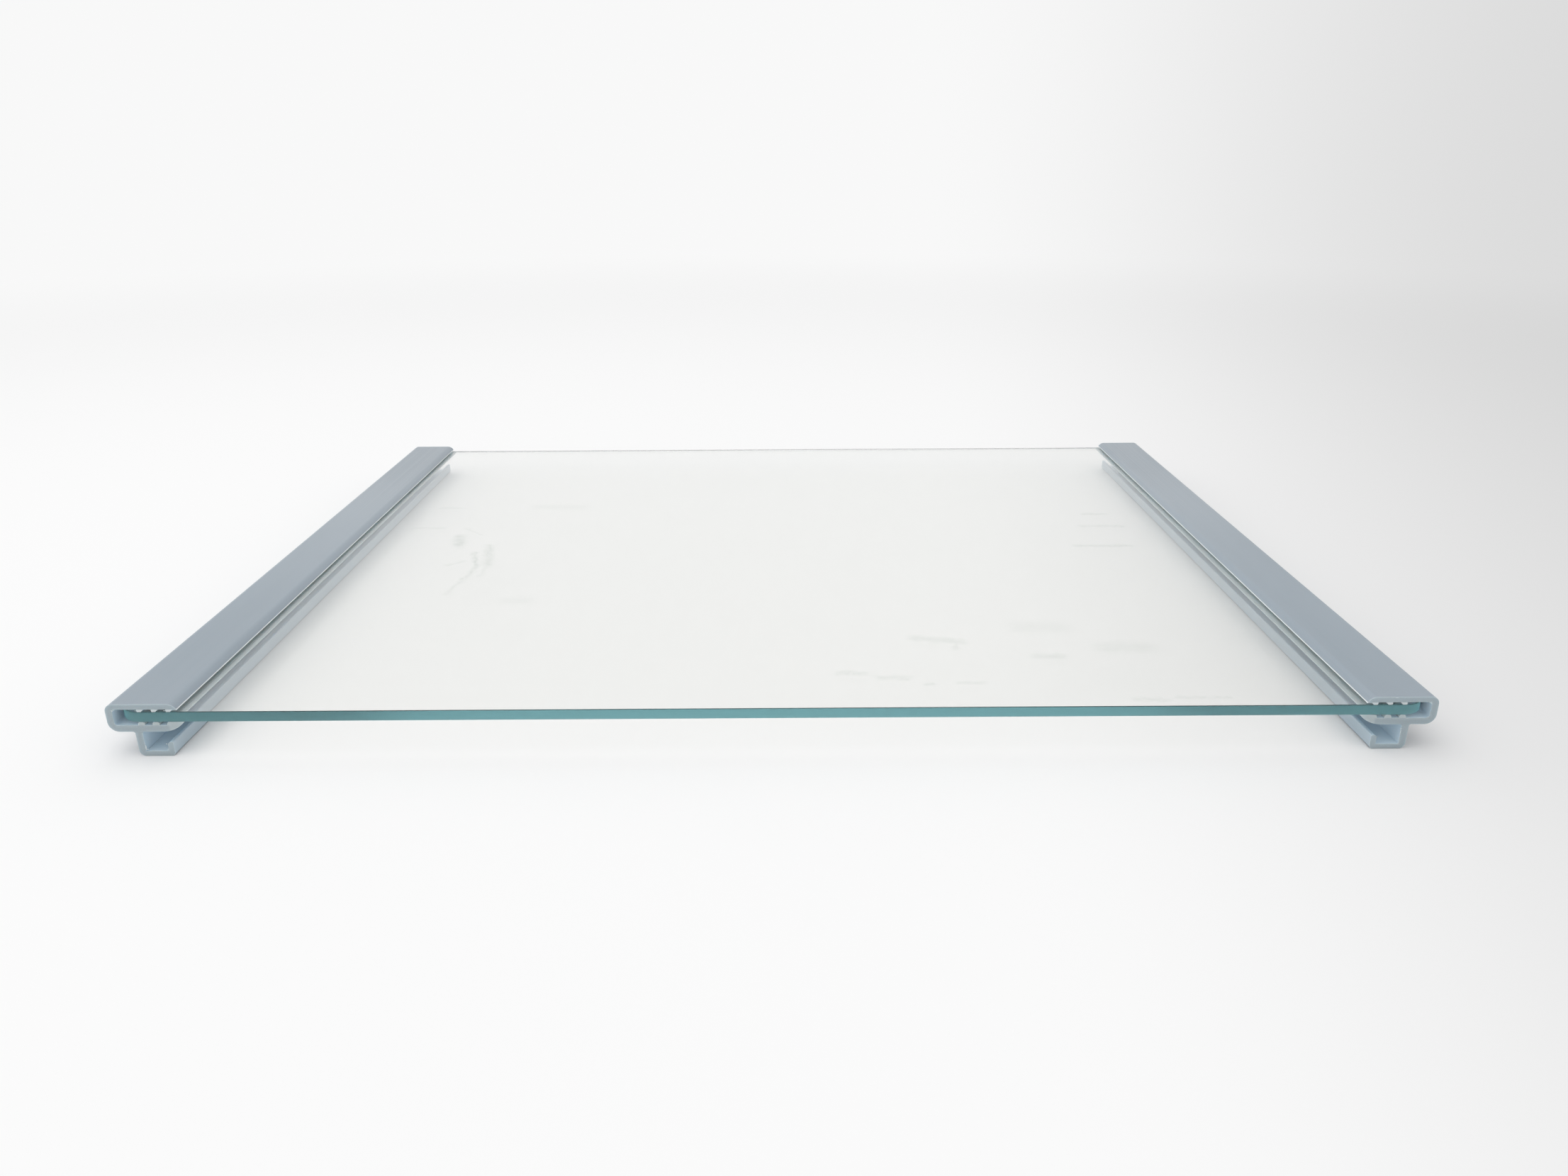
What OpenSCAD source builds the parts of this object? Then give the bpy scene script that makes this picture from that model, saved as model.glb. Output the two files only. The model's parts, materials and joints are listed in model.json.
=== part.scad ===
// Refrigerator shelf: a toughened glass pane held between two extruded side rails.
// Both rails are the same extrusion, cut to the depth of the pane and turned end for end.
// Frame: +X to the right across the width, +Y to the rear, +Z up, z = 0 under the feet.

/* [Shelf] */
// Overall width across both rails
shelf_w = 475; // [300:1:600]
// Depth of the pane and of both rails, front to rear
shelf_d = 380; // [200:1:500]

/* [Glass pane] */
// Thickness of the toughened glass
glass_t = 4; // [3:0.5:6]
// Radius of the pane's corners, seen from above
glass_corner_r = 9; // [4:0.5:20]
// Width of the ground arris along every edge of the pane
glass_arris = 0.4; // [0.2:0.1:0.8]
// Gap between the pane's side edge and the rail's outer wall
glass_side_gap = 0.4; // [0.1:0.1:1.5]

/* [Rail channel] */
// Thickness of the upright outer wall
wall_t = 2.4; // [1.5:0.1:3.5]
// Thickness of the top flange
top_flange_t = 2; // [1.2:0.1:3]
// Thickness of the bottom flange
bottom_flange_t = 2.5; // [1.5:0.1:3.5]
// Radius outside the channel along its top edge
top_edge_r = 2.8; // [0.5:0.1:3]
// Radius outside the channel along its bottom edge
bottom_edge_r = 3.9; // [1:0.1:4.5]
// Radius inside the channel, between the outer wall and the top flange
top_inner_r = 0.5; // [0.2:0.1:0.8]
// Radius inside the channel, between the outer wall and the bottom flange
bottom_inner_r = 1.2; // [0.3:0.1:1.2]

/* [Channel mouth] */
// Reach of the top flange from the rail's outer face to the end of its nose
top_reach = 25.6; // [24:0.1:32]
// Radius that turns the top face down into the nose
nose_r = 3.9; // [3:0.1:6]
// Height of the nose, from the top face down to its lower edge
nose_h = 2.3; // [1.5:0.1:2.8]
// How far the bottom lip reaches past the end of the nose
lip_overreach = 1.6; // [0.5:0.1:4]
// Radius of the upward sweep under the bottom lip
sweep_r = 10.7; // [6:0.1:12]
// Height of the blunt end of the bottom lip
lip_end_h = 0.3; // [0.1:0.1:0.8]

/* [Gripping ribs] */
// Number of ribs over the pane, and of ribs under it
rib_count = 3; // [2:1:4]
// Distance from the rail's outer face to the middle of the first rib's crest
rib_first = 12.1; // [9:0.1:14]
// Distance from the middle of the last rib's crest to the end of the nose
rib_last_inset = 3.1; // [2.6:0.1:4]
// Height of the ribs over the pane
top_rib_h = 1; // [0.6:0.1:2]
// Width of the flat crest of the ribs over the pane
top_rib_crest_w = 1; // [0.4:0.1:1.4]
// Radius along both edges of that crest
top_rib_r = 0.35; // [0.1:0.05:0.5]
// Slope of the ribs over the pane on the side towards the nose, in degrees
top_rib_slope = 45; // [35:1:60]
// Height of the ribs under the pane
bottom_rib_h = 1.3; // [0.8:0.1:2]
// Width of the ribs under the pane
bottom_rib_w = 2.4; // [1.8:0.1:3]
// Radius along both edges of the ribs under the pane
bottom_rib_r = 0.8; // [0.2:0.1:0.8]

/* [Foot] */
// Clear height from the standing surface to the bottom flange
foot_h = 9.8; // [8:0.1:16]
// Distance from the rail's outer face to the outer face of the web
web_inset = 9.2; // [6:0.1:11]
// Thickness of the web
web_t = 2.5; // [1.5:0.1:3]
// Width of the foot, from the outer face of its web to the far face of its lip
foot_w = 12.8; // [10:0.1:15]
// Thickness of the foot's floor
foot_floor_t = 2; // [1.2:0.1:3]
// Thickness of the foot's upturned lip
foot_lip_t = 2; // [1.6:0.1:2.5]
// Height of the foot's lip above the standing surface
foot_lip_h = 5.5; // [4.5:0.1:7]
// Radius under the foot, below its web
heel_r = 2.4; // [0.5:0.1:3]
// Radius under the foot, below its lip
toe_r = 1.2; // [0.3:0.1:2]
// Radius along the lip's top edge on the side of the web
foot_lip_inner_r = 1.1; // [0.3:0.1:1.1]
// Radius along the lip's top edge on the far side
foot_lip_outer_r = 0.5; // [0.2:0.1:0.5]
// Radius in the two corners where the web meets the bottom flange
web_fillet_r = 0.8; // [0.3:0.1:1.2]

/* [Hidden] */
$fn = 96;

// Plan size of the pane, which stops short of both outer walls
glass_w = shelf_w - 2 * (wall_t + glass_side_gap);
glass_d = shelf_d;

// Heights above the standing surface, each resting on the one before it
bottom_flange_top_z = foot_h + bottom_flange_t;
glass_bottom_z = bottom_flange_top_z + bottom_rib_h;
glass_top_z = glass_bottom_z + glass_t;
top_flange_bottom_z = glass_top_z + top_rib_h;
shelf_h = top_flange_bottom_z + top_flange_t;

// Places across the rail, measured inwards from its outer face
bottom_reach = top_reach + lip_overreach;
rib_last = top_reach - rib_last_inset;
rib_pitch = (rib_last - rib_first) / (rib_count - 1);
web_inner_x = web_inset + web_t;
foot_end_x = web_inset + foot_w;

// Colours of the rail's plastic and of the glass
rail_colour = [0.62, 0.67, 0.71];
glass_colour = [0.75, 0.88, 0.86, 0.5];

// Overshoot of cutting shapes past the face that they cut
over = 0.5;

// Run of an arc of radius r, from its level start to where it has risen or dropped by h
function arc_run(r, h) = sqrt(r * r - (r - h) * (r - h));

// What a radius takes off a square corner: the corner is at the origin, the piece towards +x and +y
module corner_waste(r) {
    difference() {
        translate([-over, -over]) square(r + over);
        translate([r, r]) circle(r);
    }
}

// The upright outer wall of the channel
module outer_wall() {
    translate([0, foot_h]) square([wall_t, shelf_h - foot_h]);
}

// The top flange, whose top face turns down into a nose at its end
module top_flange() {
    nose_run = arc_run(nose_r, nose_h);
    translate([0, top_flange_bottom_z]) square([top_reach - nose_run, top_flange_t]);
    intersection() {
        translate([top_reach - nose_run, shelf_h - nose_h]) square([nose_run, nose_h]);
        translate([top_reach - nose_run, shelf_h - nose_r]) circle(nose_r);
    }
}

// The bottom flange, whose end sweeps up as a lip that meets the pane from below
module bottom_flange() {
    lip_h = glass_bottom_z - foot_h;
    lip_run = arc_run(sweep_r, lip_h - lip_end_h);
    translate([0, foot_h]) square([bottom_reach - lip_run, bottom_flange_t]);
    intersection() {
        translate([bottom_reach - lip_run, foot_h]) square([lip_run, lip_h]);
        translate([bottom_reach - lip_run, foot_h + sweep_r]) circle(sweep_r);
    }
}

// The space between the flanges, from the outer wall to the last rib
module slot() {
    difference() {
        translate([wall_t, bottom_flange_top_z])
            square([rib_last - wall_t, top_flange_bottom_z - bottom_flange_top_z]);
        translate([wall_t, bottom_flange_top_z]) corner_waste(bottom_inner_r);
        translate([wall_t, top_flange_bottom_z]) mirror([0, 1]) corner_waste(top_inner_r);
    }
}

// The channel that holds the pane, without its ribs
module channel() {
    difference() {
        union() {
            outer_wall();
            top_flange();
            bottom_flange();
            // A block where the outer wall and the flanges meet, for the inner radii
            translate([0, foot_h]) square([rib_first, shelf_h - foot_h]);
        }
        slot();
        translate([0, foot_h]) corner_waste(bottom_edge_r);
        translate([0, shelf_h]) mirror([0, 1]) corner_waste(top_edge_r);
    }
}

// A rib over the pane, with its crest's middle at the origin: upright towards the outer wall
// and sloping towards the nose, so that the pane slides in and is then gripped
module top_rib() {
    half_crest = top_rib_crest_w / 2;
    slope_x = half_crest + top_rib_r * sin(top_rib_slope);
    slope_y = top_rib_r * (1 - cos(top_rib_slope));
    slope_end_x = slope_x + (top_rib_h - slope_y) / tan(top_rib_slope);
    for (side = [-1, 1]) translate([side * half_crest, top_rib_r]) circle(top_rib_r);
    polygon([
        [-half_crest, 0],
        [half_crest, 0],
        [slope_x, slope_y],
        [slope_end_x, top_rib_h],
        [slope_end_x, top_rib_h + over],
        [-half_crest - top_rib_r, top_rib_h + over],
        [-half_crest - top_rib_r, top_rib_r],
        [-half_crest, top_rib_r]
    ]);
}

// A rib under the pane, standing on the bottom flange: upright sides, round edges, flat crest
module bottom_rib() {
    difference() {
        translate([-bottom_rib_w / 2, -over]) square([bottom_rib_w, bottom_rib_h + over]);
        for (side = [-1, 1])
            translate([side * bottom_rib_w / 2, bottom_rib_h])
                mirror([0, 1]) scale([-side, 1]) corner_waste(bottom_rib_r);
    }
}

// Both rows of ribs, evenly spread from the first place to the last
module ribs() {
    for (i = [0 : rib_count - 1]) {
        rib_x = rib_first + i * rib_pitch;
        translate([rib_x, glass_top_z]) top_rib();
        translate([rib_x, bottom_flange_top_z]) bottom_rib();
    }
}

// The foot: a web down from the bottom flange, a floor, and a lip turned up at its end
module foot() {
    difference() {
        translate([web_inset, 0]) square([foot_w, foot_h + over]);
        translate([web_inner_x, foot_floor_t])
            square([foot_end_x - foot_lip_t - web_inner_x, foot_h + over]);
        translate([web_inner_x, foot_lip_h]) square([foot_w, foot_h + over]);
        translate([web_inset, 0]) corner_waste(heel_r);
        translate([foot_end_x, 0]) mirror([1, 0]) corner_waste(toe_r);
        translate([foot_end_x - foot_lip_t, foot_lip_h]) mirror([0, 1]) corner_waste(foot_lip_inner_r);
        translate([foot_end_x, foot_lip_h]) mirror([1, 0]) mirror([0, 1]) corner_waste(foot_lip_outer_r);
    }
    translate([web_inset, foot_h]) mirror([1, 0]) mirror([0, 1]) corner_waste(web_fillet_r);
    translate([web_inner_x, foot_h]) mirror([0, 1]) corner_waste(web_fillet_r);
}

// The whole section of a rail, from its outer face at x = 0 towards the middle of the shelf
module rail_section() {
    channel();
    ribs();
    foot();
}

// One rail along the depth of the shelf, with its outer face at x = 0
module rail() {
    color(rail_colour)
        translate([0, shelf_d / 2, 0]) rotate([90, 0, 0]) linear_extrude(height = shelf_d) rail_section();
}

module left_rail() {
    translate([-shelf_w / 2, 0, 0]) rail();
}

// The same extrusion turned end for end
module right_rail() {
    rotate([0, 0, 180]) translate([-shelf_w / 2, 0, 0]) rail();
}

// Half of a section through the pane, out to an edge with its two arrises
module pane_half_section(reach) {
    polygon([
        [0, 0],
        [reach - glass_arris, 0],
        [reach, glass_arris],
        [reach, glass_t - glass_arris],
        [reach - glass_arris, glass_t],
        [0, glass_t]
    ]);
}

// The pane's full width over a length along Y, with the two edges along that length
module pane_bar(width, length) {
    translate([0, length / 2, 0]) rotate([90, 0, 0]) linear_extrude(height = length) {
        pane_half_section(width / 2);
        mirror([1, 0]) pane_half_section(width / 2);
    }
}

// The pane: a bar each way, which leave out the corners, and a disc in each corner
module glass_pane() {
    color(glass_colour) translate([0, 0, glass_bottom_z]) {
        pane_bar(glass_w, glass_d - 2 * glass_corner_r);
        rotate([0, 0, 90]) pane_bar(glass_d, glass_w - 2 * glass_corner_r);
        for (x_side = [-1, 1]) for (y_side = [-1, 1])
            translate([x_side * (glass_w / 2 - glass_corner_r), y_side * (glass_d / 2 - glass_corner_r), 0])
                rotate_extrude() pane_half_section(glass_corner_r);
    }
}

glass_pane();
left_rail();
right_rail();
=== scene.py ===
# %% [markdown]
# # A refrigerator shelf in glass and extruded plastic
#
# The shelf is three things on a bench: a sheet of toughened glass with ground edges, and two
# lengths of the same plastic extrusion pushed over its sides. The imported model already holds
# their exact shapes, so this lesson is about what makes them look real: edges that catch the
# light, glass that turns green only where light travels far inside it, plastic that shows how
# it was extruded and sawn, and the finger marks of use. Everything is in metres, with the
# shelf standing on z = 0 and its front edge towards -Y.

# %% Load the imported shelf
import json
import math
import bpy
from mathutils import Matrix, Vector

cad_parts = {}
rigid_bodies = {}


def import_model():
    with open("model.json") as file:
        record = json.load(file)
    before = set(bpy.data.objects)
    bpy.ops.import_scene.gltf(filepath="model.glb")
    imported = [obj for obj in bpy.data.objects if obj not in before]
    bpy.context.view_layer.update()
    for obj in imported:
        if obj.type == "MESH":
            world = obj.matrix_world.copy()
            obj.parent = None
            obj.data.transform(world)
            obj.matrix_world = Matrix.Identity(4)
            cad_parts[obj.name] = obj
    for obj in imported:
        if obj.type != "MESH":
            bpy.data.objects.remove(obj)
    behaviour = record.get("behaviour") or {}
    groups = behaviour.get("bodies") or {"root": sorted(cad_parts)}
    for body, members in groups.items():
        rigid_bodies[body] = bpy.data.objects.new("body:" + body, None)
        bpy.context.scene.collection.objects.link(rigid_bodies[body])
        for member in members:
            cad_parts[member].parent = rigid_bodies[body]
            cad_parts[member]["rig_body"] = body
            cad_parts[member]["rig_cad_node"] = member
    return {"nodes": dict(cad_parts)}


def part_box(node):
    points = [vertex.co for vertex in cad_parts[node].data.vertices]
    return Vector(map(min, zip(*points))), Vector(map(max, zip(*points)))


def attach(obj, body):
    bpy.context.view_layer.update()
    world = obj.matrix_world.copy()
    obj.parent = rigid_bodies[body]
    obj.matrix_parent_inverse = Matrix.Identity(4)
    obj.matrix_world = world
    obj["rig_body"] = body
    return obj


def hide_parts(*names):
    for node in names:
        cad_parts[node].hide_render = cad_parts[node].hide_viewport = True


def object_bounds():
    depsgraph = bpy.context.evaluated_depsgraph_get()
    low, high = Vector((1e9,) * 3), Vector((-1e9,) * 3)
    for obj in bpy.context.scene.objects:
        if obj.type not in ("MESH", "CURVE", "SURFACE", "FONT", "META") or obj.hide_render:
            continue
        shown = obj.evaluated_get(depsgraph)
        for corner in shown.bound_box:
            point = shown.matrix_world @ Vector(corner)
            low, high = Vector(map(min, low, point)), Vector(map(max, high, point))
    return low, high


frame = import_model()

MM = 0.001
cad_low, cad_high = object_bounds()
print("CAD box in mm:", [round(v / MM, 1) for v in (*cad_low, *cad_high)])
for node in frame["nodes"]:
    low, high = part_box(node)
    print(node, "reaches from", [round(v / MM, 1) for v in low], "to", [round(v / MM, 1) for v in high])

# %% [markdown]
# ## Sizes that the looks depend on
#
# A finish often stops at a line that the shape has too: the softer plastic of the gripping ribs
# ends at the flange that carries them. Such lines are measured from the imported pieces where
# that is possible, and the few that a bounding box can't give are named here once. A place
# across a rail is measured from the rail's outer face towards the middle of the shelf.

# %% Sizes of the shelf
pane_low, pane_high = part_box("glass_pane")
outer_x = cad_high.x
half_depth = cad_high.y
pane_corner_r = 9 * MM
pane_arris = 0.4 * MM
bottom_flange_top_z = 12.3 * MM
top_flange_bottom_z = 18.6 * MM
first_rib_starts = 10.6 * MM
third_rib_ends = 23.9 * MM
lip_end_starts = 21.4 * MM
print("pane", round((pane_high.z - pane_low.z) / MM, 2), "mm thick")
print("shelf", round(2 * outer_x / MM, 1), "mm wide")

# %% [markdown]
# ## The camera
#
# The photograph was taken by hand from in front, about 20 degrees down. The two rails run
# straight back, so their edges meet in a vanishing point that gives the tilt, and a fit of the
# known section gives the rest. A camera object is turned by multiplying simple turns: yaw about
# the vertical, tilt about its own side axis, and roll about its own line of sight.

# %% Camera at the photograph's place
photo_width_px = 2212
focal_px = 1661
sensor_width_mm = 36
camera_place = Vector((4.2, -567.0, 205.8)) * MM
tilt_down = math.radians(20.69)
yaw = math.radians(0.04)
roll = math.radians(-0.32)

bpy.ops.object.select_all(action="DESELECT")
bpy.ops.object.camera_add(location=camera_place)
camera = bpy.context.object
camera.name = "photo_camera"
turn_yaw = Matrix.Rotation(-yaw, 4, "Z")
turn_tilt = Matrix.Rotation(math.radians(90) - tilt_down, 4, "X")
turn_roll = Matrix.Rotation(roll, 4, "Z")
camera.matrix_world = Matrix.Translation(camera_place) @ turn_yaw @ turn_tilt @ turn_roll
camera.data.sensor_width = sensor_width_mm
camera.data.lens = focal_px / photo_width_px * sensor_width_mm
camera.data.clip_start = 0.01
camera.data.clip_end = 50
bpy.context.scene.camera = camera
bpy.context.scene.view_settings.view_transform = "Standard"
print("lens", round(camera.data.lens, 2), "mm on a", sensor_width_mm, "mm wide sensor")

# %% [markdown]
# ## How far light is followed
#
# Light that leaves the front edge of the pane has run back and forth between its two faces many
# times. With Blender's usual twelve bounces such light is given up as black, and the edge goes
# dark. So light is followed much further here. The filter that blurs gloss after a matt bounce
# is turned off too, because it would shade the table under clear glass.

# %% Light paths
cycles = bpy.context.scene.cycles
cycles.max_bounces = 64
cycles.transmission_bounces = 64
cycles.glossy_bounces = 64
cycles.diffuse_bounces = 8
cycles.blur_glossy = 0
print("light is followed for", cycles.max_bounces, "bounces")

# %% [markdown]
# ## A small vocabulary for shader nodes
#
# Node trees are easier to read in code when each node is one short line. These helpers add a
# node and wire its inputs: an input may be a number, a colour, or the output of another node.

# %% Helpers for nodes
def new_material(name):
    material = bpy.data.materials.new(name)
    material.use_nodes = True
    material.node_tree.nodes.clear()
    return material


def add_node(tree, kind, **settings):
    node = tree.nodes.new(kind)
    for key, value in settings.items():
        setattr(node, key, value)
    return node


def feed(tree, socket, value):
    if isinstance(value, bpy.types.NodeSocket):
        tree.links.new(value, socket)
    else:
        socket.default_value = value


def math_node(tree, operation, first, second=0.0, clamp=False):
    node = add_node(tree, "ShaderNodeMath", operation=operation, use_clamp=clamp)
    feed(tree, node.inputs[0], first)
    feed(tree, node.inputs[1], second)
    return node.outputs[0]


def vector_node(tree, operation, first, second=(0, 0, 0)):
    node = add_node(tree, "ShaderNodeVectorMath", operation=operation)
    feed(tree, node.inputs[0], first)
    feed(tree, node.inputs[1], second)
    return node


def ramp_between(tree, value, start, end, low=0.0, high=1.0):
    node = add_node(tree, "ShaderNodeMapRange", interpolation_type="SMOOTHSTEP")
    for socket, number in zip(node.inputs, (value, start, end, low, high)):
        feed(tree, socket, number)
    return node.outputs[0]


def mix_colour(tree, factor, first, second):
    node = add_node(tree, "ShaderNodeMix", data_type="RGBA")
    colours = [socket for socket in node.inputs if socket.type == "RGBA"]
    feed(tree, node.inputs[0], factor)
    feed(tree, colours[0], first)
    feed(tree, colours[1], second)
    return next(socket for socket in node.outputs if socket.type == "RGBA")


def separate(tree, vector):
    node = add_node(tree, "ShaderNodeSeparateXYZ")
    feed(tree, node.inputs[0], vector)
    return node.outputs[0], node.outputs[1], node.outputs[2]


def scaled(tree, vector, scale):
    node = add_node(tree, "ShaderNodeMapping")
    feed(tree, node.inputs["Vector"], vector)
    node.inputs["Scale"].default_value = scale
    return node.outputs["Vector"]


def noise(tree, vector, scale, detail=3.0, roughness=0.5):
    node = add_node(tree, "ShaderNodeTexNoise")
    feed(tree, node.inputs["Vector"], vector)
    node.inputs["Scale"].default_value = scale
    node.inputs["Detail"].default_value = detail
    node.inputs["Roughness"].default_value = roughness
    return node.outputs[0]


def object_place(tree):
    return add_node(tree, "ShaderNodeTexCoord").outputs["Object"]


def surface_normal(tree):
    return add_node(tree, "ShaderNodeNewGeometry").outputs["Normal"]


def set_output(tree, surface=None, volume=None):
    node = add_node(tree, "ShaderNodeOutputMaterial")
    if surface is not None:
        tree.links.new(surface, node.inputs["Surface"])
    if volume is not None:
        tree.links.new(volume, node.inputs["Volume"])


# %% [markdown]
# ## The white table and the light
#
# The photograph was taken on white card under very soft light, which falls off towards the
# right. A large disc stands for the card. Near the shelf it is a real matt surface, so it takes
# the shelf's shadows. Further out it turns into the same plain tone as the world behind it, so
# no horizon shows from any side. The light is nearly all the world, as in a light tent, with one
# wide and weak lamp above for a little direction.

# %% Table and backdrop
card_radius = 30.0
fade_start = 0.75
fade_end = 1.9
near_reach = 0.55


def light_falloff_tone(tree, side):
    """Brightness falling off to the right, for a side that runs from -1 at the far left to 1 at the far
    right: real light in the world, painted shade in the card's colour.
    """
    return ramp_between(tree, side, 0.1, 0.6, 0.94, 0.70)


bpy.ops.object.select_all(action="DESELECT")
bpy.ops.mesh.primitive_circle_add(vertices=96, radius=card_radius, fill_type="NGON", location=(0, 0, 0))
card = bpy.context.object
card.name = "white_card"

card_material = new_material("white_card")
tree = card_material.node_tree
place = object_place(tree)
distance = vector_node(tree, "LENGTH", place).outputs["Value"]
fade = ramp_between(tree, distance, fade_start, fade_end)
x, y, z = separate(tree, place)
from_front = vector_node(tree, "ADD", place, (0, -camera_place.y, 0)).outputs["Vector"]
reach = vector_node(tree, "LENGTH", from_front).outputs["Value"]
spread = math_node(tree, "ADD", math_node(tree, "MULTIPLY", reach, reach), near_reach**2)
side = math_node(tree, "DIVIDE", x, math_node(tree, "SQRT", spread))
# The card's colour takes the same falloff: painted shade, darker towards the right.
painted_falloff_tone = light_falloff_tone(tree, side)
matt = add_node(tree, "ShaderNodeBsdfDiffuse")
feed(tree, matt.inputs["Color"], painted_falloff_tone)
flat_tone = add_node(tree, "ShaderNodeEmission")
feed(tree, flat_tone.inputs["Color"], painted_falloff_tone)
both = add_node(tree, "ShaderNodeMixShader")
feed(tree, both.inputs[0], fade)
tree.links.new(matt.outputs[0], both.inputs[1])
tree.links.new(flat_tone.outputs[0], both.inputs[2])
set_output(tree, both.outputs[0])
card.data.materials.append(card_material)

# %% World light
world = bpy.data.worlds.new("light_tent")
bpy.context.scene.world = world
world.use_nodes = True
tree = world.node_tree
tree.nodes.clear()
direction = add_node(tree, "ShaderNodeTexCoord").outputs["Generated"]
x, y, z = separate(tree, direction)
background = add_node(tree, "ShaderNodeBackground")
feed(tree, background.inputs["Color"], light_falloff_tone(tree, x))
output = add_node(tree, "ShaderNodeOutputWorld")
tree.links.new(background.outputs[0], output.inputs["Surface"])

# %% Lamp above
bpy.ops.object.select_all(action="DESELECT")
bpy.ops.object.light_add(type="AREA", location=(-0.35, -0.1, 1.5))
lamp = bpy.context.object
lamp.name = "wide_lamp"
lamp.data.shape = "RECTANGLE"
lamp.data.size = 1.8
lamp.data.size_y = 1.4
lamp.data.energy = 5
lamp.rotation_euler = lamp.location.to_track_quat("Z", "Y").to_euler()
print("lamp", lamp.data.size, "x", lamp.data.size_y, "m at", [round(v, 2) for v in lamp.location])

# %% [markdown]
# ## The glass sheet
#
# The pane was cut from 4 mm float glass, its corners rounded and its rim ground, and then it
# was toughened. It could stay the CAD's plate, but the ground rim is what the eye reads first, so
# it is modelled: a block gets its four upright edges bevelled to the corner radius, and then the
# whole rim a small arris. Glass that touches plastic exactly confuses the light, so the sheet is
# made two hundredths of a millimetre thinner on each face.

# %% Helpers for edges
def deselect_everything():
    bpy.ops.object.select_all(action="DESELECT")


def start_edit(piece, mode):
    deselect_everything()
    piece.select_set(True)
    bpy.context.view_layer.objects.active = piece
    bpy.ops.object.mode_set(mode="EDIT")
    bpy.ops.mesh.select_mode(type=mode)
    bpy.ops.mesh.select_all(action="DESELECT")
    bpy.ops.object.mode_set(mode="OBJECT")


def select_edges(piece, test):
    start_edit(piece, "EDGE")
    points = piece.data.vertices
    chosen = 0
    for edge in piece.data.edges:
        first = points[edge.vertices[0]].co
        second = points[edge.vertices[1]].co
        edge.select = test(first, second)
        chosen += edge.select
    bpy.ops.object.mode_set(mode="EDIT")
    return chosen


# %% Glass sheet from a block
air_gap = 0.02 * MM
sheet_low = pane_low + Vector((0, 0, air_gap))
sheet_high = pane_high - Vector((0, 0, air_gap))
sheet_size = sheet_high - sheet_low
deselect_everything()
bpy.ops.mesh.primitive_cube_add(size=1, location=(sheet_low + sheet_high) / 2)
pane = bpy.context.object
pane.name = "glass_sheet"
bpy.ops.object.mode_set(mode="EDIT")
bpy.ops.transform.resize(value=sheet_size)
bpy.ops.object.mode_set(mode="OBJECT")
deselect_everything()
pane.select_set(True)
bpy.ops.object.transform_apply(location=True, rotation=True, scale=True)

upright = select_edges(pane, lambda a, b: abs(a.z - b.z) > sheet_size.z / 2)
bpy.ops.mesh.bevel(offset=pane_corner_r, segments=16, affect="EDGES")
bpy.ops.object.mode_set(mode="OBJECT")
rim = select_edges(pane, lambda a, b: abs(a.z - b.z) < 1e-6)
bpy.ops.mesh.bevel(offset=pane_arris, segments=3, affect="EDGES")
bpy.ops.object.mode_set(mode="OBJECT")
print("pane:", upright, "corners rounded,", rim, "rim edges ground,", len(pane.data.polygons), "faces")


# %% Keep the two faces flat
def on_face_border(a, b):
    level = abs(a.z - b.z) < 1e-6
    return level and min(abs(a.z - sheet_low.z), abs(a.z - sheet_high.z)) < 1e-6


select_edges(pane, on_face_border)
bpy.ops.mesh.mark_sharp()
bpy.ops.object.mode_set(mode="OBJECT")
bpy.ops.object.shade_smooth_by_angle(angle=math.radians(35), keep_sharp_edges=True)

# %% [markdown]
# ## Finger marks
#
# A shelf in use is never clean: the photograph shows greasy strokes where fingers took hold of
# it. They could be painted in a picture, but strokes are simple enough to be measured: each is a
# line with rounded ends, and the distance to it, roughened by noise, says how greasy a point is.
# Every stroke here is two points and a width on the pane's top face, in millimetres.

# %% Strokes of grease on the top face
finger_strokes = (
    ((-162, 9), (-159, -4), 3.4, 1.0),
    ((-148.5, -17), (-142.5, -35), 1.7, 0.9),
    ((-142.5, -35), (-144, -54), 1.6, 0.8),
    ((-144, -54), (-147, -74), 1.3, 0.6),
    ((-143, -6), (-137.5, -35), 2.6, 0.8),
    ((-137.5, -35), (-137.5, -51), 1.2, 0.5),
    ((-156.5, -35), (-150, -30), 1.2, 0.6),
    ((-163, 24), (-151, 11), 1.0, 0.5),
    ((-185, 59.5), (-174, 59.5), 2.0, 0.5),
    ((-189, 23.5), (-174, 23.5), 1.8, 0.5),
    ((-117, -82), (-110, -82), 5.0, 0.4),
    ((-131, 61), (-107, 60.5), 5.0, 0.35),
    ((167, 42), (178, 41.5), 2.0, 0.6),
    ((160.5, 20.5), (181, 20), 2.2, 0.6),
    ((150.5, -11.5), (176.5, -12), 2.2, 0.7),
    ((57, -127), (75, -131), 3.0, 0.8),
    ((75, -131), (72, -139), 1.2, 0.7),
    ((102.5, -115.5), (118, -116), 6.0, 0.4),
    ((104, -146), (112.5, -146), 2.6, 0.7),
    ((133, -137.5), (147, -137.5), 5.5, 0.6),
    ((26, -160.5), (35, -161), 2.2, 0.7),
    ((40, -164.5), (50, -165), 2.4, 0.7),
    ((57, -170.5), (60, -170.5), 1.4, 0.8),
    ((70, -169.5), (79, -169.5), 1.4, 0.6),
    ((132, -184.5), (141.5, -185), 1.8, 0.6),
    ((146, -183), (165.5, -183.5), 1.2, 0.5),
)


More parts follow.
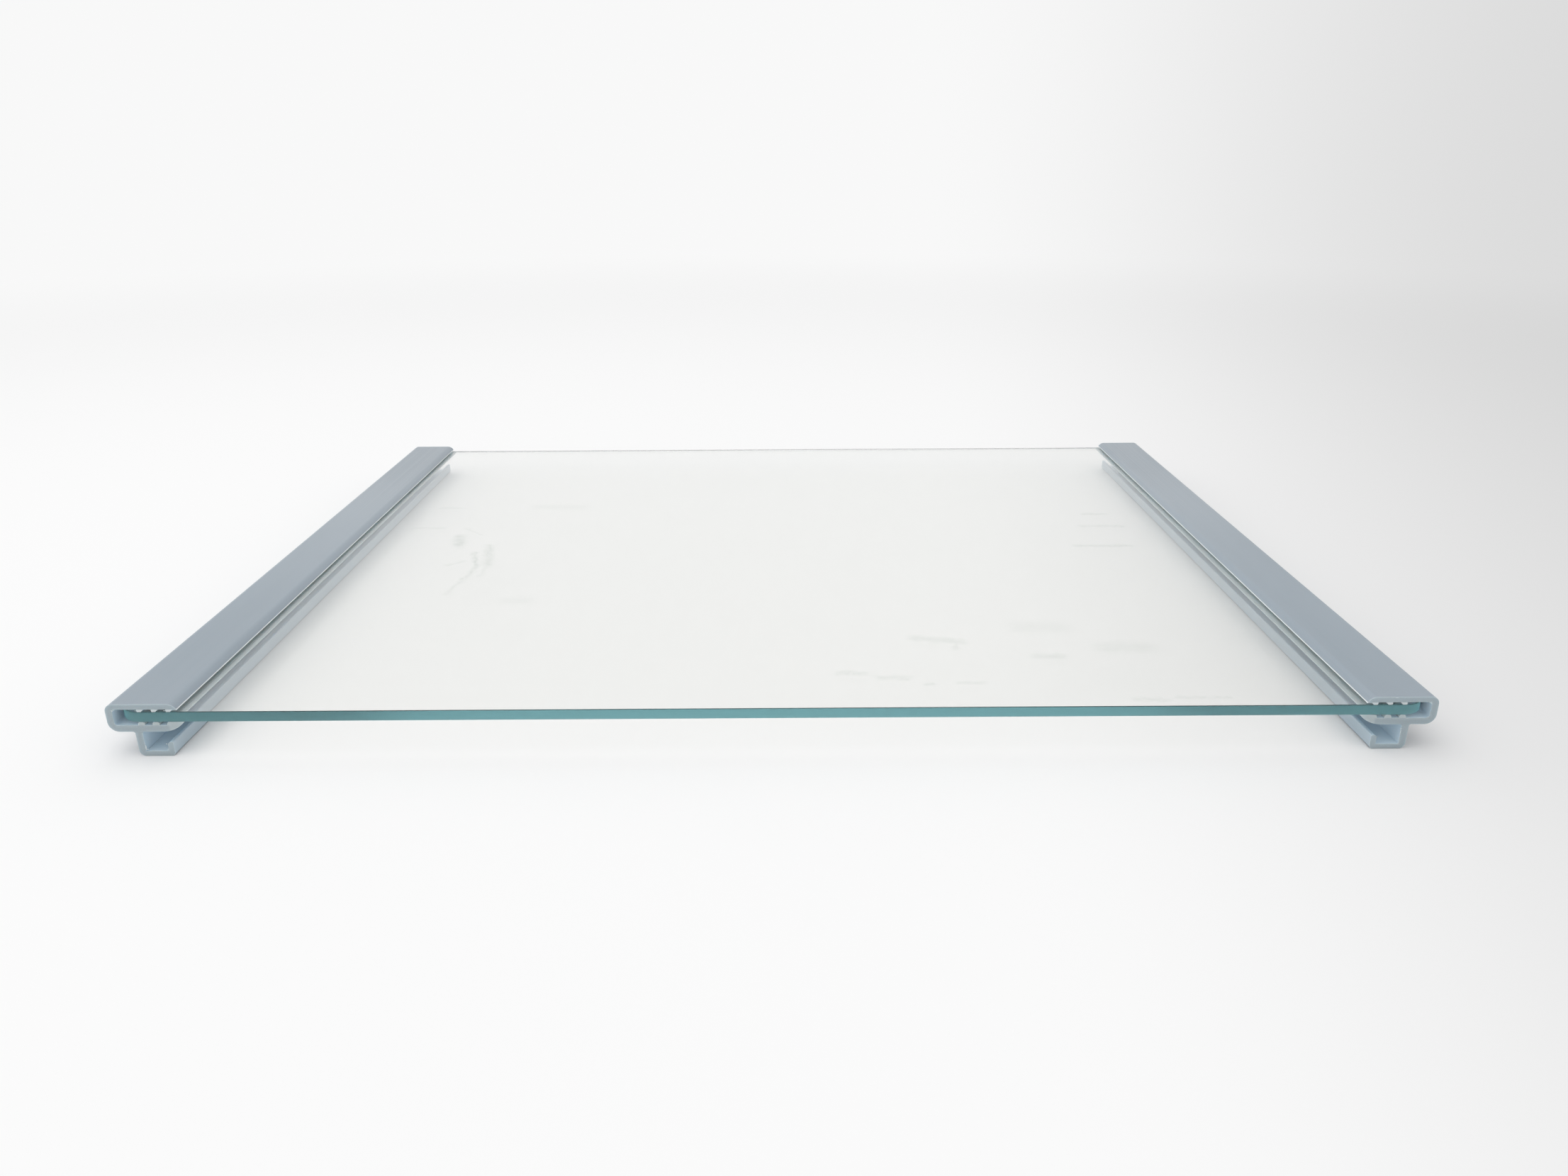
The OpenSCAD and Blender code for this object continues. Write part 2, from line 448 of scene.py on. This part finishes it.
def stroke_mask(tree, place, start, end, width, strength):
    """How greasy a point is: strength on the line from start to end, fading out past the width."""
    first = Vector((*start, 0)) * MM
    run = Vector((*end, 0)) * MM - first
    away = vector_node(tree, "SUBTRACT", place, first).outputs["Vector"]
    along = vector_node(tree, "DOT_PRODUCT", away, run / run.length_squared).outputs["Value"]
    along = math_node(tree, "MAXIMUM", along, 0.0, clamp=True)
    nearest = add_node(tree, "ShaderNodeVectorMath", operation="SCALE")
    nearest.inputs[0].default_value = run
    feed(tree, nearest.inputs["Scale"], along)
    gap = vector_node(tree, "DISTANCE", away, nearest.outputs["Vector"]).outputs["Value"]
    return ramp_between(tree, gap, 1.7 * width * MM, 0.0, 0.0, strength)


def grease_on(tree, place):
    """All strokes together, broken up the way a fingertip leaves its grease."""
    x, y, z = separate(tree, place)
    flat_place = add_node(tree, "ShaderNodeCombineXYZ")
    feed(tree, flat_place.inputs[0], x)
    feed(tree, flat_place.inputs[1], y)
    grain = add_node(tree, "ShaderNodeTexNoise")
    feed(tree, grain.inputs["Vector"], place)
    grain.inputs["Scale"].default_value = 260
    wobble = vector_node(tree, "SUBTRACT", grain.outputs["Color"], (0.5, 0.5, 0.5)).outputs["Vector"]
    wobble = vector_node(tree, "MULTIPLY", wobble, (5 * MM, 5 * MM, 0)).outputs["Vector"]
    moved = vector_node(tree, "ADD", flat_place.outputs["Vector"], wobble).outputs["Vector"]
    grease = 0.0
    for stroke in finger_strokes:
        grease = math_node(tree, "MAXIMUM", grease, stroke_mask(tree, moved, *stroke))
    patchy = ramp_between(tree, noise(tree, place, 700, 3.0, 0.6), 0.3, 0.6, 0.45, 1.0)
    on_top = math_node(tree, "GREATER_THAN", z, (sheet_low.z + sheet_high.z) / 2)
    return math_node(tree, "MULTIPLY", math_node(tree, "MULTIPLY", grease, patchy), on_top)


print(len(finger_strokes), "strokes of grease")

# %% [markdown]
# ## Glass that is green only at its edge
#
# Float glass is nearly clear across its 4 mm, but its iron colours light that travels far. That is
# why the edge of a pane looks green and its face does not. A colour painted on the edge would look
# the same from every side, so the material is real glass with a thin absorbing volume, and its
# ground edges are rough. The faces stay smooth, with a faint haze, grease and a little dust.

# %% Glass material
glass = new_material("float_glass")
tree = glass.node_tree
normal_x, normal_y, normal_z = separate(tree, surface_normal(tree))
flatness = math_node(tree, "ABSOLUTE", normal_z)
ground = ramp_between(tree, flatness, 0.999, 0.9)
place = object_place(tree)
grease = grease_on(tree, place)
dust = ramp_between(tree, noise(tree, place, 1500, 2.0, 0.5), 0.74, 0.80, 0.0, 0.35)
film = math_node(tree, "MAXIMUM", grease, dust)
shader = add_node(tree, "ShaderNodeBsdfPrincipled")
shader.inputs["Transmission Weight"].default_value = 1.0
shader.inputs["IOR"].default_value = 1.52
clean_tint = (0.965, 0.957, 0.945, 1)
greasy_tint = (0.76, 0.79, 0.75, 1)
feed(tree, shader.inputs["Base Color"], mix_colour(tree, film, clean_tint, greasy_tint))
grind = noise(tree, place, 900, 4.0, 0.6)
ground_roughness = ramp_between(tree, grind, 0.3, 0.7, 0.34, 0.5)
rough_edge = math_node(tree, "MULTIPLY", ground, ground_roughness)
rough_film = math_node(tree, "MULTIPLY", film, 0.16)
feed(tree, shader.inputs["Roughness"], math_node(tree, "MAXIMUM", rough_edge, rough_film))
bump = add_node(tree, "ShaderNodeBump")
bump.inputs["Distance"].default_value = 0.03 * MM
feed(tree, bump.inputs["Strength"], math_node(tree, "MULTIPLY", ground, 0.5))
feed(tree, bump.inputs["Height"], grind)
tree.links.new(bump.outputs[0], shader.inputs["Normal"])
absorb = add_node(tree, "ShaderNodeVolumeAbsorption")
absorb.inputs["Color"].default_value = (0.0, 0.50, 0.55, 1)
absorb.inputs["Density"].default_value = 4.4
set_output(tree, shader.outputs[0], absorb.outputs[0])
pane.data.materials.append(glass)
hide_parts("glass_pane")
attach(pane, "root")

# %% [markdown]
# ## The rails
#
# The CAD nodes come as loose triangles, which a bevel can't follow. A copy is merged first, and
# flat neighbours are dissolved into whole faces. Then the sharp outline of each sawn end is
# given a tiny bevel: no real cut edge is perfectly sharp, and that thin line is what catches the
# light and tells the eye how thick the walls are.

# %% Rail copies with broken edges
cut_arris = 0.12 * MM


def at_sawn_end(a, b):
    return abs(abs(a.y) - half_depth) < 1e-6 and abs(abs(b.y) - half_depth) < 1e-6


def finished_rail(node_name, piece_name):
    deselect_everything()
    source = frame["nodes"][node_name]
    source.select_set(True)
    bpy.context.view_layer.objects.active = source
    bpy.ops.object.duplicate()
    rail = bpy.context.object
    rail.name = piece_name
    rail.parent = None
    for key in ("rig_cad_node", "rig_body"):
        if key in rail:
            del rail[key]
    rail.data.materials.clear()
    bpy.ops.object.mode_set(mode="EDIT")
    bpy.ops.mesh.select_all(action="SELECT")
    bpy.ops.mesh.customdata_custom_splitnormals_clear()
    bpy.ops.mesh.remove_doubles(threshold=1e-6)
    bpy.ops.mesh.dissolve_limited(angle_limit=math.radians(0.5))
    bpy.ops.object.mode_set(mode="OBJECT")
    count = select_edges(rail, at_sawn_end)
    bpy.ops.mesh.bevel(offset=cut_arris, segments=2, affect="EDGES", clamp_overlap=True)
    bpy.ops.object.mode_set(mode="OBJECT")
    bpy.ops.object.shade_smooth_by_angle(angle=math.radians(40))
    print(piece_name, "has", len(rail.data.polygons), "faces,", count, "sawn edges broken")
    return rail


left_rail = finished_rail("left_rail", "left_rail_extrusion")
right_rail = finished_rail("right_rail", "right_rail_extrusion")

# %% [markdown]
# ## The rail's plastic
#
# The rail is a milky blue-grey plastic with a satin skin. Light goes a little way into it, which
# keeps its shaded hollows blue instead of black, so it gets subsurface scattering. Its inner faces
# are painted much paler as well: painted light that lifts the shade in its hollows. The ribs that
# grip the glass and the end of the bottom lip are a softer, paler plastic from the same die, and
# above the pane they are painted paler still, as painted light in the shaded slot.
# Along its length the skin carries faint lines from that die, and its ends show the grain of
# the saw. All of that is told apart by place: distance across the rail, height, and which way
# the surface faces.

# %% Masks for the zones of a rail
def inside(tree, value, low, high):
    """1 between low and high, 0 outside."""
    above = math_node(tree, "GREATER_THAN", value, low)
    return math_node(tree, "MULTIPLY", above, math_node(tree, "LESS_THAN", value, high))


def soft_plastic_mask(tree, across, z):
    """The ribs on both sides of the glass, and the end of the lip under it."""
    skin = 0.05 * MM
    ribs = inside(tree, across, first_rib_starts, third_rib_ends)
    under = inside(tree, z, bottom_flange_top_z + skin, pane_low.z + skin)
    over = inside(tree, z, pane_high.z - skin, top_flange_bottom_z - skin)
    ribs = math_node(tree, "MULTIPLY", ribs, math_node(tree, "ADD", under, over))
    lip = ramp_between(tree, across, lip_end_starts, lip_end_starts + 0.8 * MM)
    lip = math_node(tree, "MULTIPLY", lip, inside(tree, z, 10.2 * MM, pane_low.z + skin))
    return math_node(tree, "MAXIMUM", ribs, lip)


def painted_hollow_light_mask(tree, across, z):
    """The inner faces of the channel and foot, painted much paler: painted light standing in for light that
    soaks through the milky walls and lifts their shade.
    """
    slot = inside(tree, z, bottom_flange_top_z - 0.05 * MM, top_flange_bottom_z + 0.05 * MM)
    slot = math_node(tree, "MULTIPLY", slot, ramp_between(tree, across, 1.8 * MM, 2.3 * MM))
    foot = math_node(tree, "MULTIPLY", inside(tree, z, 1.0 * MM, 12.2 * MM), 0.9)
    foot = math_node(tree, "MULTIPLY", foot, ramp_between(tree, across, 11.0 * MM, 11.5 * MM))
    foot = math_node(tree, "MULTIPLY", foot, ramp_between(tree, across, 20.5 * MM, 21.8 * MM, 1.0, 0.62))
    return math_node(tree, "MAXIMUM", slot, foot)


# %% Rail material
plastic = new_material("rail_plastic")
tree = plastic.node_tree
place = object_place(tree)
x, y, z = separate(tree, place)
across = math_node(tree, "SUBTRACT", outer_x, math_node(tree, "ABSOLUTE", x))
end_gap = math_node(tree, "SUBTRACT", half_depth, math_node(tree, "ABSOLUTE", y))
normal_x, normal_y, normal_z = separate(tree, surface_normal(tree))
facing_end = math_node(tree, "ABSOLUTE", normal_y)
sawn = ramp_between(tree, facing_end, 0.75, 0.95)
at_end = ramp_between(tree, end_gap, 0.3 * MM, 0.1 * MM)
arris_burr_and_highlight = math_node(tree, "MULTIPLY", at_end, math_node(tree, "SUBTRACT", 1.0, sawn))
soft = soft_plastic_mask(tree, across, z)

cloud = ramp_between(tree, noise(tree, scaled(tree, place, (40, 7, 40)), 1.0, 4.0, 0.55), 0.3, 0.7)
die_lines = noise(tree, scaled(tree, place, (1600, 3, 1600)), 1.0, 2.0, 0.5)
saw_grain = noise(tree, scaled(tree, place, (1500, 1500, 4200)), 1.0, 3.0, 0.65)
body_colour = mix_colour(tree, cloud, (0.292, 0.345, 0.392, 1), (0.312, 0.366, 0.414, 1))
line_tone = ramp_between(tree, die_lines, 0.3, 0.7)
line_share = math_node(tree, "MULTIPLY", line_tone, 0.35)
body_colour = mix_colour(tree, line_share, body_colour, (0.335, 0.383, 0.428, 1))
sawn_tone = ramp_between(tree, saw_grain, 0.3, 0.7)
sawn_colour = mix_colour(tree, sawn_tone, (0.338, 0.400, 0.432, 1), (0.372, 0.436, 0.466, 1))
over_pane = math_node(tree, "GREATER_THAN", z, pane_high.z - 0.05 * MM)
# Painted light: the inner faces are pale blue under the pane and near white above it, lifting the shade in
# the channel and slot.
painted_hollow_light_colour = mix_colour(tree, over_pane, (0.54, 0.655, 0.73, 1), (0.84, 0.90, 0.93, 1))
# The soft plastic is truly paler than the body; above the pane it is painted paler still, as painted light
# in the shaded slot under the top flange.
soft_plastic_and_painted_light_colour = mix_colour(tree, over_pane, (0.43, 0.49, 0.505, 1), (0.60, 0.66, 0.68, 1))
body_colour = mix_colour(tree, painted_hollow_light_mask(tree, across, z), body_colour, painted_hollow_light_colour)
colour = mix_colour(tree, sawn, body_colour, sawn_colour)
colour = mix_colour(tree, soft, colour, soft_plastic_and_painted_light_colour)
# The arris faces round each sawn end are painted paler: partly the whitening of the saw's burr, partly a
# painted highlight where the edge catches the light.
colour = mix_colour(tree, math_node(tree, "MULTIPLY", arris_burr_and_highlight, 0.7), colour, (0.52, 0.58, 0.61, 1))

shader = add_node(tree, "ShaderNodeBsdfPrincipled")
feed(tree, shader.inputs["Base Color"], colour)
skin_roughness = ramp_between(tree, die_lines, 0.25, 0.75, 0.30, 0.40)
sawn_roughness = ramp_between(tree, saw_grain, 0.25, 0.75, 0.5, 0.7)
roughness = math_node(tree, "MULTIPLY", skin_roughness, math_node(tree, "SUBTRACT", 1.0, sawn))
roughness = math_node(tree, "ADD", roughness, math_node(tree, "MULTIPLY", sawn_roughness, sawn))
feed(tree, shader.inputs["Roughness"], roughness)
shader.inputs["IOR"].default_value = 1.5
shader.inputs["Subsurface Weight"].default_value = 0.5
shader.inputs["Subsurface Radius"].default_value = (0.8, 1.0, 1.1)
shader.inputs["Subsurface Scale"].default_value = 2.5 * MM
bump_lines = add_node(tree, "ShaderNodeBump")
bump_lines.inputs["Distance"].default_value = 0.012 * MM
feed(tree, bump_lines.inputs["Strength"], math_node(tree, "SUBTRACT", 1.0, sawn))
feed(tree, bump_lines.inputs["Height"], die_lines)
bump_saw = add_node(tree, "ShaderNodeBump")
bump_saw.inputs["Distance"].default_value = 0.02 * MM
feed(tree, bump_saw.inputs["Strength"], math_node(tree, "MULTIPLY", sawn, 0.7))
feed(tree, bump_saw.inputs["Height"], saw_grain)
tree.links.new(bump_lines.outputs[0], bump_saw.inputs["Normal"])
tree.links.new(bump_saw.outputs[0], shader.inputs["Normal"])
set_output(tree, shader.outputs[0])
for rail, node_name in ((left_rail, "left_rail"), (right_rail, "right_rail")):
    rail.data.materials.append(plastic)
    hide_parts(node_name)
    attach(rail, "root")

# %% [markdown]
# ## Burrs that the saw left
#
# A saw tears plastic where it leaves a thin edge, and the torn crumbs turn white. The photograph
# shows about a dozen, each half a millimetre or so, in the inner corners of both front ends.
# Each crumb could be a speck of paint, but it stands proud and has its own shadow, so it is a
# small lump: a coarse sphere, squeezed to its measured size and pushed out of round.

# %% Crumbs on the sawn front ends
left_crumbs = (
    (2.6, 18.2, 0.9, 0.4), (10.9, 18.1, 0.45, 0.3), (21.2, 18.1, 0.5, 0.35), (11.9, 3.5, 0.6, 1.6),
    (12.3, 2.7, 1.1, 0.35), (11.8, 5.0, 0.35, 0.5), (14.3, 2.1, 1.5, 0.2), (19.6, 4.9, 0.5, 0.35),
    (19.7, 2.6, 0.3, 0.7),
)
right_crumbs = (
    (11.8, 6.8, 0.35, 2.2), (11.9, 8.2, 0.6, 0.4), (3.1, 12.6, 0.9, 0.3), (6.4, 12.35, 3.8, 0.16),
    (22.1, 2.4, 0.25, 1.8), (15.4, 20.4, 1.4, 0.16), (19.8, 4.9, 0.4, 0.3),
)
crumb_stands_out = 0.22 * MM


def crumb_piece(name, side_sign, crumbs):
    made = []
    for number, (crumb_across, height, wide, tall) in enumerate(crumbs):
        deselect_everything()
        middle = Vector((side_sign * (outer_x - crumb_across * MM), -half_depth, height * MM))
        bpy.ops.mesh.primitive_ico_sphere_add(subdivisions=2, radius=0.5, location=middle)
        crumb = bpy.context.object
        bpy.ops.object.mode_set(mode="EDIT")
        bpy.ops.transform.resize(value=(wide * MM, crumb_stands_out, tall * MM))
        bpy.ops.object.mode_set(mode="OBJECT")
        for index, point in enumerate(crumb.data.vertices):
            push = 0.78 + 0.34 * abs(math.sin(12.9 * index + 7.7 * number))
            point.co = point.co * push
        made.append(crumb)
    deselect_everything()
    for crumb in made:
        crumb.select_set(True)
    bpy.context.view_layer.objects.active = made[0]
    bpy.ops.object.join()
    piece = bpy.context.object
    piece.name = name
    bpy.ops.object.transform_apply(location=True, rotation=True, scale=True)
    bpy.ops.object.shade_smooth_by_angle(angle=math.radians(30))
    print(name, "has", len(crumbs), "crumbs and", len(piece.data.polygons), "faces")
    return piece


torn = new_material("torn_plastic")
tree = torn.node_tree
place = object_place(tree)
shader = add_node(tree, "ShaderNodeBsdfPrincipled")
speckle = noise(tree, place, 4000, 2.0, 0.6)
speckle_tone = ramp_between(tree, speckle, 0.35, 0.65)
torn_colour = mix_colour(tree, speckle_tone, (0.50, 0.56, 0.58, 1), (0.62, 0.68, 0.70, 1))
feed(tree, shader.inputs["Base Color"], torn_colour)
feed(tree, shader.inputs["Roughness"], ramp_between(tree, speckle, 0.3, 0.7, 0.55, 0.75))
torn_bump = add_node(tree, "ShaderNodeBump")
torn_bump.inputs["Distance"].default_value = 0.02 * MM
torn_bump.inputs["Strength"].default_value = 0.6
feed(tree, torn_bump.inputs["Height"], speckle)
tree.links.new(torn_bump.outputs[0], shader.inputs["Normal"])
set_output(tree, shader.outputs[0])
for name, side_sign, crumbs in (("left_saw_crumbs", -1, left_crumbs), ("right_saw_crumbs", 1, right_crumbs)):
    piece = crumb_piece(name, side_sign, crumbs)
    piece.data.materials.append(torn)
    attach(piece, "root")
